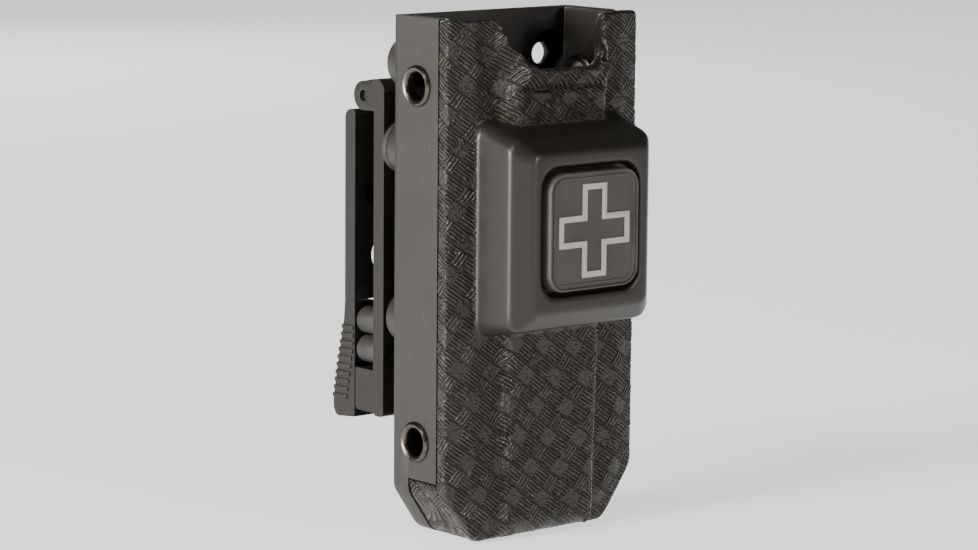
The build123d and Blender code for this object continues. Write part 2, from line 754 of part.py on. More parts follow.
# ================================================================ case fasteners
seat = dimple_rise - dimple_floor
head = clip_back - head_flush
for name, (x, z) in fixings.items():
    with BuildPart() as washer:
        add(turned((x, 0, z), (0, 1, 0), [
            (dimple_rise, nut_barrel + fastener_fit), (dimple_rise, washer_radius - fastener_edge),
            (dimple_rise + fastener_edge, washer_radius), (clip_front - fastener_edge, washer_radius),
            (clip_front, washer_radius - fastener_edge), (clip_front, nut_barrel + fastener_fit),
        ]))
    finish(washer, f"spacer_washer_{name}")

    with BuildPart() as nut:
        add(turned((x, 0, z), (0, 1, 0), [
            (seat - nut_flange_thickness, 0), (seat - nut_flange_thickness, nut_flange - fastener_edge),
            (seat - nut_flange_thickness + fastener_edge, nut_flange), (seat, nut_flange),
            (seat, nut_barrel), (seat + nut_length, nut_barrel), (seat + nut_length, nut_bore),
            (seat, nut_bore), (seat, 0),
        ]))
    finish(nut, f"post_nut_{name}")

    with BuildPart() as screw:
        add(turned((x, 0, z), (0, 1, 0), [
            (head, 0), (head, screw_head), (head - screw_head_depth + head_cone, screw_radius),
            (head - screw_head_depth - screw_reach, screw_radius),
            (head - screw_head_depth - screw_reach, 0),
        ]))
        with BuildSketch(Plane.XZ.offset(-head)):
            with Locations((x, z)):
                RegularPolygon(hex_radius, 6)
        extrude(amount=hex_depth, mode=Mode.SUBTRACT)
    finish(screw, f"mount_screw_{name}")
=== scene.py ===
"""Looks of a rigid belt case for a tourniquet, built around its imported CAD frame.

Every length is in metres, in the row frame: +X right when facing the badge, -Y the badge
side, +Y the belt clip side, +Z up. Places come from the frame's own boxes.
"""
import logging
import math
from dataclasses import dataclass, field
from enum import Enum
from typing import Optional, Sequence, Union

import bmesh
import bpy
import numpy as np
from mathutils import Matrix, Vector
from mathutils.bvhtree import BVHTree


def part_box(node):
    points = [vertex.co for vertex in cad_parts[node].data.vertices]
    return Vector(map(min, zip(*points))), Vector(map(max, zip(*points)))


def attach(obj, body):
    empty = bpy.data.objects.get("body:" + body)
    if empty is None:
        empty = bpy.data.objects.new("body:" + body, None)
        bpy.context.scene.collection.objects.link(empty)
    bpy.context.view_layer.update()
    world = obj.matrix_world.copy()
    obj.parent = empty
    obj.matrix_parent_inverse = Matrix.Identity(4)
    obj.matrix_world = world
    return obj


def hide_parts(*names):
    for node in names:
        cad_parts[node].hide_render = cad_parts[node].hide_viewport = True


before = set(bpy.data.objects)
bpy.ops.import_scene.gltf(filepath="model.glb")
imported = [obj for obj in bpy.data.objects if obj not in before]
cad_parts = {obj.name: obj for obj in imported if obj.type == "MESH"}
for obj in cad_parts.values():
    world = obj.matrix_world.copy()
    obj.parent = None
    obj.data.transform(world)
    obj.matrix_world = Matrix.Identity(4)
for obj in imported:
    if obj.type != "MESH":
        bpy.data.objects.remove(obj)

LOG = logging.getLogger("case")
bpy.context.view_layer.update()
MM = 0.001
SMALL_FACE = 2.5e-6
LARGE_FACE = 6e-5
SLIGHT_BEND = math.radians(1.0)
SHARP_BEND = math.radians(24.0)
SHEET_SPAN = 100.0
Number = Union[int, float]
Colour = tuple[float, float, float]


# ------------------------------------------------------------------ shader maths
class Value:
    """A shader socket that adds Math nodes when it is used in an expression."""

    def __init__(self, shader: "Shader", socket: bpy.types.NodeSocket) -> None:
        """Wraps an output socket of a node in the shader's tree."""
        self.shader = shader
        self.socket = socket

    def _math(self, operation: str, *others: Union["Value", Number], swap: bool = False) -> "Value":
        """Adds one Math node.

        Args:
            operation: name of the Math operation.
            others: the remaining operands.
            swap: puts this value second.

        Returns:
            The node's result.
        """
        operands = [self, *others]
        if swap:
            operands.reverse()
        return self.shader.node("ShaderNodeMath", {"operation": operation}, dict(enumerate(operands)))

    def __add__(self, other: Union["Value", Number]) -> "Value":
        """Sum."""
        return self._math("ADD", other)

    __radd__ = __add__

    def __sub__(self, other: Union["Value", Number]) -> "Value":
        """Difference."""
        return self._math("SUBTRACT", other)

    def __rsub__(self, other: Number) -> "Value":
        """Reflected difference."""
        return self._math("SUBTRACT", other, swap=True)

    def __mul__(self, other: Union["Value", Number]) -> "Value":
        """Product."""
        return self._math("MULTIPLY", other)

    __rmul__ = __mul__

    def __truediv__(self, other: Union["Value", Number]) -> "Value":
        """Quotient."""
        return self._math("DIVIDE", other)

    def __abs__(self) -> "Value":
        """Magnitude."""
        return self._math("ABSOLUTE")

    def floor(self) -> "Value":
        """Whole part."""
        return self._math("FLOOR")

    def fract(self) -> "Value":
        """Fractional part."""
        return self._math("FRACT")

    def sine(self) -> "Value":
        """Sine of an angle in radians."""
        return self._math("SINE")

    def smaller(self, other: Union["Value", Number]) -> "Value":
        """The smaller of two values."""
        return self._math("MINIMUM", other)

    def ramp(self, low: Number, high: Number) -> "Value":
        """A smooth step from 0 at low to 1 at high.

        Args:
            low: value that gives 0.
            high: value that gives 1; it may be below low.

        Returns:
            The stepped value.
        """
        settings = {"interpolation_type": "SMOOTHSTEP"}
        inputs = {"Value": self, "From Min": low, "From Max": high}
        return self.shader.node("ShaderNodeMapRange", settings, inputs)


Input = Union[Value, Number, Sequence[float]]


WHITE = (1.0, 1.0, 1.0, 1.0)
SATIN = {"Specular_Tint": (1.0, 0.93, 0.86, 1.0), "Specular_IOR_Level": 0.36}


def shade(colour: Colour, gain: float) -> Colour:
    """A colour made lighter or darker."""
    return tuple(channel * gain for channel in colour)


class Shader:
    """One material's node tree, with a Principled shader at its end."""

    def __init__(self, name: str) -> None:
        """Starts an empty material."""
        self.material = bpy.data.materials.new(name)
        self.material.use_nodes = True
        self.tree = self.material.node_tree
        self.tree.nodes.clear()
        self.surface = self.tree.nodes.new("ShaderNodeBsdfPrincipled")
        output = self.tree.nodes.new("ShaderNodeOutputMaterial")
        self.tree.links.new(self.surface.outputs["BSDF"], output.inputs["Surface"])

    def node(
        self,
        kind: str,
        settings: Optional[dict] = None,
        inputs: Optional[dict[Union[int, str], Input]] = None,
        output: Union[int, str] = 0,
    ) -> Value:
        """Adds a node of any type.

        Args:
            kind: the node's type.
            settings: its own properties.
            inputs: values or links of its sockets, by name or number.
            output: which output to give back.

        Returns:
            The chosen output.
        """
        made = self.tree.nodes.new(kind)
        for key, value in (settings or {}).items():
            setattr(made, key, value)
        for key, value in (inputs or {}).items():
            self.feed(made.inputs[key], value)
        return Value(self, made.outputs[output])

    def feed(self, socket: bpy.types.NodeSocket, value: Input) -> None:
        """Links or sets one input socket."""
        if isinstance(value, Value):
            self.tree.links.new(value.socket, socket)
        elif isinstance(value, (int, float)):
            socket.default_value = value
        else:
            size = len(socket.default_value)
            socket.default_value = (*value, 1.0)[:size] if size > len(value) else tuple(value)

    def set(self, **inputs: Input) -> "Shader":
        """Feeds the surface's sockets; underscores stand for spaces."""
        for key, value in inputs.items():
            self.feed(self.surface.inputs[key.replace("_", " ")], value)
        return self

    def place(self) -> Value:
        """Coordinates of the object's own frame."""
        return self.node("ShaderNodeTexCoord", output="Object")

    def noise(self, scale: float, detail: float = 3.0, stretch: Optional[Sequence[float]] = None,
              rough: float = 0.55) -> Value:
        """Soft noise over the object.

        Args:
            scale: waves per metre.
            detail: octaves.
            stretch: scales along X, Y and Z.
            rough: strength of the finer octaves.

        Returns:
            The noise, about 0.5.
        """
        where = self.place()
        if stretch:
            where = self.node("ShaderNodeMapping", None, {"Vector": where, "Scale": stretch})
        inputs = {"Vector": where, "Scale": scale, "Detail": detail, "Roughness": rough}
        return self.node("ShaderNodeTexNoise", None, inputs, "Fac")

    def mix(self, factor: Input, first: Input, second: Input) -> Value:
        """Colour mix.

        Args:
            factor: 0 gives the first colour, 1 the second.
            first: a colour.
            second: a colour.

        Returns:
            The mixed colour.
        """
        made = self.tree.nodes.new("ShaderNodeMix")
        made.data_type = "RGBA"
        self.feed(made.inputs["Factor"], factor)
        colours = [s for s in made.inputs if s.type == "RGBA"]
        self.feed(colours[0], first)
        self.feed(colours[1], second)
        result = [s for s in made.outputs if s.type == "RGBA"][0]
        return Value(self, result)

    def bump(self, height: Value, distance: float, strength: float = 1.0,
             under: Optional[Value] = None) -> Value:
        """Normal of a height.

        Args:
            height: the height, 0 to 1.
            distance: metres for a height of 1.
            strength: how much of it shows.
            under: a normal that this one is laid over.

        Returns:
            The normal.
        """
        inputs: dict[Union[int, str], Input] = {
            "Height": height, "Distance": distance, "Strength": strength,
        }
        if under is not None:
            inputs["Normal"] = under
        return self.node("ShaderNodeBump", None, inputs)

    def edges(self) -> Value:
        """How convex the surface is: above 0.5 along worn edges."""
        return self.node("ShaderNodeNewGeometry", output="Pointiness")


# ------------------------------------------------------------------ finishes
@dataclass(frozen=True)
class Weave:
    """Basket-weave emboss: rows of smooth squares, hatched blocks and short upright bars."""

    row: float = 3.9
    period: float = 14.5
    tilt: float = -37.0
    square: float = 1.85
    bars: float = 1.5
    bar_pitch: float = 0.86
    hatch_pitch: float = 0.78
    margin: float = 0.16
    line_share: float = 0.35
    groove: float = 0.05
    square_blur: float = 0.12
    bar_blur: float = 0.1
    mesh_blur: float = 0.2
    square_height: float = 0.6
    block_height: float = 0.75
    square_drop: float = 0.3
    bar_rise: float = 0.25
    cross_wobble: float = 0.7

    def parts(self, u: Input, v: Input, wobble: Input = 0.0) -> tuple[Value, Value, Value]:
        """The emboss in the shader.

        Args:
            u: millimetres across the sheet.
            v: millimetres up the sheet.
            wobble: small shift that makes the lines uneven.

        Returns:
            Height from 0 in the grooves to 1 on the lands, the raised lines, and the squares.
        """
        angle = math.radians(self.tilt)
        along = u * math.cos(angle) + v * math.sin(angle) + wobble
        across = v * math.cos(angle) - u * math.sin(angle) + wobble * self.cross_wobble
        rows = across / self.row
        row = rows.floor()
        inside = abs(rows - row - 0.5) * self.row
        place = ((along - row * (self.period / 2)) / self.period).fract()
        from_square = (0.5 - abs(place - 0.5)) * self.period
        from_bars = abs(place - 0.5) * self.period
        hatch = (across * (2 * math.pi / self.hatch_pitch)).sine() * 0.5 + 0.5
        bars = (place * (self.period * 2 * math.pi / self.bar_pitch)).sine() * 0.5 + 0.5
        in_square = from_square.ramp(self.square + self.square_blur, self.square - self.square_blur)
        in_bars = from_bars.ramp(self.bars + self.bar_blur, self.bars - self.bar_blur)
        lines = hatch * (1 - in_bars) + bars * in_bars
        height = lines * (1 - in_square) + in_square * self.square_height
        edge = inside.ramp(self.row / 2 - self.groove, self.row / 2 - self.margin * 2)
        return height * edge, lines * (1 - in_square) * edge, in_square * edge

    def relief(self, u: np.ndarray, v: np.ndarray) -> np.ndarray:
        """The same height for a mesh, from arrays of millimetres, with shallower lines."""
        angle = math.radians(self.tilt)
        along = u * math.cos(angle) + v * math.sin(angle)
        across = v * math.cos(angle) - u * math.sin(angle)
        rows = across / self.row
        row = np.floor(rows)
        inside = np.abs(rows - row - 0.5) * self.row
        place = np.mod((along - row * (self.period / 2)) / self.period, 1.0)
        from_square = (0.5 - np.abs(place - 0.5)) * self.period
        from_bars = np.abs(place - 0.5) * self.period
        in_square = smooth_step(from_square, self.square + self.mesh_blur, self.square - self.mesh_blur)
        in_bars = smooth_step(from_bars, self.bars + self.mesh_blur, self.bars - self.mesh_blur)
        hatch = np.sin(across * (2 * math.pi / self.hatch_pitch)) * 0.5 + 0.5
        bars = np.sin(place * (self.period * 2 * math.pi / self.bar_pitch)) * 0.5 + 0.5
        lines = hatch * (1 - in_bars) + bars * in_bars
        blocks = self.block_height - in_square * self.square_drop + in_bars * self.bar_rise
        height = blocks - (1 - lines) * (1 - in_square) * self.line_share
        edge = smooth_step(inside, self.row / 2 - self.groove, self.row / 2 - self.margin * 2)
        return height * edge


def smooth_step(values: np.ndarray, low: float, high: float) -> np.ndarray:
    """Smooth step of an array from 0 at low to 1 at high."""
    part = np.clip((values - low) / (high - low), 0.0, 1.0)
    return part * part * (3 - 2 * part)


@dataclass(frozen=True)
class SheetFinish:
    """Satin thermoplastic sheet with a faint pebble and handling marks."""

    name: str
    colour: Colour
    wear_and_highlight: Colour
    roughness: float = 0.42
    grain: float = 0.00003
    cloud_scale: float = 38
    streak_scale: float = 160
    pebble_scale: float = 2600
    scuff_scale: float = 420
    cloud_gain: float = 1.18
    scuff_tint: float = 0.25

    def material(self) -> bpy.types.Material:
        """Makes the material."""
        shader = Shader(self.name)
        cloud = shader.noise(self.cloud_scale, 4)
        streaks = shader.noise(self.streak_scale, 3, (1.0, 1.0, 0.12))
        pebble = shader.noise(self.pebble_scale, 2)
        scuff = shader.noise(self.scuff_scale, 5).ramp(0.60, 0.72)
        tone = shader.mix(cloud.ramp(0.3, 0.75), self.colour, shade(self.colour, self.cloud_gain))
        tone = shader.mix(scuff * self.scuff_tint, tone, self.wear_and_highlight)
        rough = self.roughness + (streaks - 0.5) * 0.18 + pebble * 0.06 + scuff * 0.08
        normal = shader.bump(pebble + streaks * 0.3, self.grain)
        shader.set(Base_Color=tone, Roughness=rough, Normal=normal, **SATIN)
        return shader.material


@dataclass(frozen=True)
class EmbossedFinish:
    """Embossed sheet: the weave shows where the piece's mask is 1 and is drawn smooth at 0. Its raised
    lines and crease carry painted highlights, its edges wear and painted highlight, and the band under
    the lip a painted shadow.
    """

    name: str
    colour: Colour
    plain: Colour
    # colour of the painted highlight on the raised weave lines
    line_highlight: Colour
    # colour of the painted highlight on the crease, and of the rubbed wear and painted highlight on edges
    wear_and_highlight: Colour
    crease_x: float = 0.0136
    crease_half: float = 0.00036
    lip_z: float = 0.1009
    lip_half: float = 0.0128
    lip_blur: float = 0.001
    # width of the painted shadow band under the lip
    groove: tuple[float, float] = (0.0007, 0.0002)
    cloud_gain: float = 1.25
    lip_shadow_gain: float = 0.25
    uneven: float = 0.5
    bend: float = 0.0009
    roughness: float = 0.46
    relief: float = 0.00042
    grain: float = 0.00002
    weave: Weave = field(default_factory=Weave)

    def material(self) -> bpy.types.Material:
        """Makes the material."""
        shader = Shader(self.name)
        sheet = {"Vector": shader.node("ShaderNodeUVMap", {"uv_map": WEAVE_MAP})}
        u = shader.node("ShaderNodeSeparateXYZ", None, sheet, "X") * SHEET_SPAN
        v = shader.node("ShaderNodeSeparateXYZ", None, sheet, "Y") * SHEET_SPAN
        mask = shader.node("ShaderNodeAttribute", {"attribute_name": WEAVE_MASK}, None, "Fac")
        wobble = (shader.noise(300, 2) - 0.5) * self.uneven
        height, lines, squares = self.weave.parts(u, v, wobble)
        emboss = height * mask * shader.noise(900, 2).ramp(0.25, 0.6)
        # noise that makes the painted highlights on the lines and the crease uneven
        highlight_breakup = shader.noise(260, 3).ramp(0.35, 0.65) * 0.55 + 0.35
        crease, lip = self._crease_and_lip_shadow(shader)
        pebble = shader.noise(2400, 2)
        cloud = shader.noise(55, 4).ramp(0.3, 0.75)
        tone = shader.mix(cloud, self.colour, shade(self.colour, self.cloud_gain))
        # painted highlight: the raised weave lines are drawn in a lighter colour, broken up by noise
        tone = shader.mix(lines.ramp(0.5, 1.0) * mask * highlight_breakup, tone, self.line_highlight)
        tone = shader.mix(squares * mask * 0.8 + (1 - mask), tone, self.plain)
        # painted highlight along the crease of the ridge
        tone = shader.mix(crease * mask * highlight_breakup, tone, self.wear_and_highlight)
        # painted shadow: the band under the lip is darkened
        tone = shader.mix(lip * mask * 0.85, tone, shade(self.colour, self.lip_shadow_gain))
        # convex edges lighter: partly rubbed wear, partly painted highlight
        tone = shader.mix(shader.edges().ramp(0.51, 0.57) * 0.22, tone, self.wear_and_highlight)
        rough = self.roughness - height * mask * 0.14 - (1 - mask) * 0.11 + (pebble - 0.5) * 0.12
        fine = shader.bump(pebble, self.grain)
        normal = shader.bump(emboss + crease * mask * 0.8, self.relief, 1.0, fine)
        shader.set(Base_Color=tone, Roughness=rough, Normal=normal, **SATIN)
        return shader.material

    def _crease_and_lip_shadow(self, shader: Shader) -> tuple[Value, Value]:
        """Where the drawn sheet has its crease and its painted shadow under the lip.

        Args:
            shader: the material in the making.

        Returns:
            The crease along the ridge, and the band of painted shadow under the lip, each 1 at its
            middle.
        """
        place = {"Vector": shader.place()}
        x = shader.node("ShaderNodeSeparateXYZ", None, place, "X")
        z = shader.node("ShaderNodeSeparateXYZ", None, place, "Z")
        bend = (shader.noise(120, 2) - 0.5) * self.bend
        crease = abs(x - self.crease_x + bend).ramp(self.crease_half, self.crease_half * 0.3)
        # band of painted shadow under the lip
        groove = abs(z - self.lip_z + bend).ramp(*self.groove)
        return crease, groove * abs(x).ramp(self.lip_half, self.lip_half - self.lip_blur)


@dataclass(frozen=True)
class MouldedFinish:
    """Injection-moulded nylon with a fine spark-eroded grain."""

    name: str
    colour: Colour
    wear_and_highlight: Colour
    roughness: float = 0.48
    grain_scale: float = 3800
    cloud_scale: float = 60
    dust_scale: float = 700
    cloud_gain: float = 1.2
    dust_tint: float = 0.18
    grain: float = 0.00004

    def material(self) -> bpy.types.Material:
        """Makes the material."""
        shader = Shader(self.name)
        grain = shader.noise(self.grain_scale, 2)
        cloud = shader.noise(self.cloud_scale, 4)
        dust = shader.noise(self.dust_scale, 5).ramp(0.58, 0.75)
        tone = shader.mix(cloud.ramp(0.3, 0.7), self.colour, shade(self.colour, self.cloud_gain))
        tone = shader.mix(dust * self.dust_tint, tone, self.wear_and_highlight)
        rough = self.roughness + (grain - 0.5) * 0.15 + (cloud - 0.5) * 0.1
        normal = shader.bump(grain, self.grain)
        shader.set(Base_Color=tone, Roughness=rough, Normal=normal, **SATIN)
        return shader.material


@dataclass(frozen=True)
class MetalFinish:
    """Burnished metal with fine turning marks and darker recesses."""

    name: str
    colour: Colour
    dark: Colour
    roughness: float = 0.32

    def material(self) -> bpy.types.Material:
        """Makes the material."""
        shader = Shader(self.name)
        stain = shader.noise(900, 4)
        fine = shader.noise(5200, 2)
        rim = shader.edges().ramp(0.47, 0.56)
        tone = shader.mix((stain.ramp(0.35, 0.7) * 0.5 + rim * 0.5).smaller(1), self.dark, self.colour)
        rough = self.roughness + (fine - 0.5) * 0.2 + (stain - 0.5) * 0.15
        shader.set(Base_Color=tone, Roughness=rough, Metallic=1.0, Normal=shader.bump(fine, 0.00001))
        return shader.material


@dataclass(frozen=True)
class RubberFinish:
    """Moulded soft rubber with a dry bloom."""

    name: str
    colour: Colour
    bloom: Colour
    roughness: float = 0.62

    def material(self) -> bpy.types.Material:
        """Makes the material."""
        shader = Shader(self.name)
        skin = shader.noise(3000, 3)
        cloud = shader.noise(140, 4)
        rim = shader.edges().ramp(0.505, 0.57)
        tone = shader.mix((cloud.ramp(0.35, 0.75) * 0.35 + rim * 0.4).smaller(1), self.colour, self.bloom)
        rough = self.roughness + (skin - 0.5) * 0.16
        shader.set(Base_Color=tone, Roughness=rough, Normal=shader.bump(skin, 0.000025), **SATIN)
        return shader.material


WEAVE_MAP = "sheet"
WEAVE_MASK = "emboss"


class Slot(Enum):
    """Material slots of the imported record, as this script uses them."""

    BACK_SHEET = "back_sheet"
    FRONT_SHEET = "front_sheet"
    EYELET_METAL = "eyelet_metal"
    BADGE_RUBBER = "badge_rubber"
    BADGE_INK = "badge_ink"
    ADHESIVE_PAD = "adhesive_pad"
    SPACER_RUBBER = "spacer_rubber"
    BLACK_STEEL = "black_steel"
    CLIP_PLASTIC = "clip_plastic"


FINISHES = {
    Slot.BACK_SHEET: SheetFinish("back sheet", (0.0225, 0.0205, 0.0188), (0.075, 0.070, 0.064), 0.44),
    # front sheet colours: base, smooth parts, painted highlight on the raised lines, then wear and
    # painted highlight for the crease and edges
    Slot.FRONT_SHEET: EmbossedFinish("front sheet", (0.0060, 0.0050, 0.0040), (0.0160, 0.0138, 0.0112),
                                     (0.088, 0.075, 0.057),
                                     (0.190, 0.170, 0.142)),
    Slot.EYELET_METAL: MetalFinish("eyelet metal", (0.15, 0.128, 0.110), (0.032, 0.027, 0.024), 0.33),
    Slot.BADGE_RUBBER: RubberFinish("badge rubber", (0.044, 0.0400, 0.0335), (0.080, 0.073, 0.062), 0.55),
    Slot.BADGE_INK: RubberFinish("badge inlay", (0.36, 0.335, 0.295), (0.43, 0.40, 0.36), 0.5),
    Slot.ADHESIVE_PAD: RubberFinish("adhesive foam", (0.008, 0.008, 0.008), (0.02, 0.02, 0.02), 0.8),
    Slot.SPACER_RUBBER: RubberFinish("spacer rubber", (0.016, 0.0155, 0.015), (0.05, 0.048, 0.046)),
    Slot.BLACK_STEEL: MetalFinish("black oxide steel", (0.10, 0.095, 0.09), (0.02, 0.02, 0.02), 0.4),
    Slot.CLIP_PLASTIC: MouldedFinish("moulded nylon", (0.0085, 0.0077, 0.0066), (0.040, 0.036, 0.031)),
}


class Wardrobe:
    """Makes each finish once and hands it out."""

    def __init__(self) -> None:
        """Starts with nothing made."""
        self._made: dict[Slot, bpy.types.Material] = {}

    def get(self, slot: Slot) -> bpy.types.Material:
        """The material of a slot."""
        if slot not in self._made:
            self._made[slot] = FINISHES[slot].material()
        return self._made[slot]

    def dress(self, piece: bpy.types.Object, slot: Slot) -> None:
        """Gives a piece one material all over."""
        piece.data.materials.clear()
        piece.data.materials.append(self.get(slot))


# ------------------------------------------------------------------ mesh helpers
def piece_from(name: str, form: bmesh.types.BMesh, smooth_angle: float = 40.0) -> bpy.types.Object:
    """Makes an object from a bmesh.

    Args:
        name: the piece's name.
        form: its shape, which is freed.
        smooth_angle: edges sharper than this, in degrees, stay sharp.

    Returns:
        The new object, at the origin.
    """
    mesh = bpy.data.meshes.new(name)
    limit = math.radians(smooth_angle)
    for face in form.faces:
        bends = [e.calc_face_angle(0.0) for e in face.edges if len(e.link_faces) == 2]
        curved = any(SLIGHT_BEND < bend < SHARP_BEND for bend in bends)
        area = face.calc_area()
        face.smooth = area < SMALL_FACE or curved and area < LARGE_FACE
    for edge in form.edges:
        edge.smooth = not (len(edge.link_faces) == 2 and edge.calc_face_angle(0.0) > limit)
    form.to_mesh(mesh)
    form.free()
    piece = bpy.data.objects.new(name, mesh)
    bpy.context.scene.collection.objects.link(piece)
    return piece


def cad_form(node: str) -> bmesh.types.BMesh:
    """A merged copy of a CAD node's mesh, with triangles of one plane joined.

    Args:
        node: the CAD node.

    Returns:
        The copy.
    """
    form = bmesh.new()
    form.from_mesh(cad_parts[node].data)
    bmesh.ops.remove_doubles(form, verts=form.verts, dist=2e-6)
    bmesh.ops.dissolve_limit(form, angle_limit=math.radians(0.5), verts=form.verts, edges=form.edges)
    return form


def soften(form: bmesh.types.BMesh, width: float, crisp: tuple[float, float] = (1.0, 1.0),
           sharp: float = 28.0, segments: int = 2) -> None:
    """Rounds the sharp edges of a form.

    Args:
        form: the shape.
        width: size of the rounding.
        crisp: edges that lie between these two heights are left as they are.
        sharp: edges that turn by more than this, in degrees, are rounded.
        segments: faces across each rounding.
    """
    limit = math.radians(sharp)
    edges = [
        e for e in form.edges
        if len(e.link_faces) == 2 and e.calc_face_angle(0.0) > limit
        and not all(crisp[0] < v.co.z < crisp[1] for v in e.verts)
    ]
    bmesh.ops.bevel(
        form, geom=edges, offset=width, offset_type="OFFSET", segments=segments, profile=0.5,
        affect="EDGES", clamp_overlap=True, material=-1,
    )


def softened_node(node: str, width: float, body: str, slot: Slot, wardrobe: Wardrobe,
                  crisp: tuple[float, float] = (1.0, 1.0)) -> bpy.types.Object:
    """A CAD node's shape with its edges rounded, standing in for the node.

    Args:
        node: the CAD node.
        width: size of the rounding.
        body: the body that it rides on.
        slot: its finish.
        wardrobe: gives the material.
        crisp: band of height whose edges stay sharp.

    Returns:
        The new piece.
    """
    form = cad_form(node)
    soften(form, width, crisp)
    piece = piece_from(node + "_moulded", form, 50.0)
    wardrobe.dress(piece, slot)
    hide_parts(node)
    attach(piece, body)
    LOG.info("%s: %d faces", piece.name, len(piece.data.polygons))
    return piece


# ------------------------------------------------------------------ the case
DENTS = (
    (-0.0150, 0.0995, 0.0016, 0.0022, 0.00050),
    (-0.0105, 0.0972, 0.0020, 0.0012, 0.00035),
    (0.0040, 0.0972, 0.0030, 0.0012, 0.00040),
    (0.0145, 0.0985, 0.0012, 0.0030, 0.00045),
    (-0.0185, 0.1090, 0.0020, 0.0030, 0.00035),
    (0.0060, 0.1035, 0.0022, 0.0012, -0.00030),
    (-0.0040, 0.1034, 0.0025, 0.0012, -0.00025),
    (-0.0120, 0.0200, 0.0014, 0.0140, 0.00018),
)


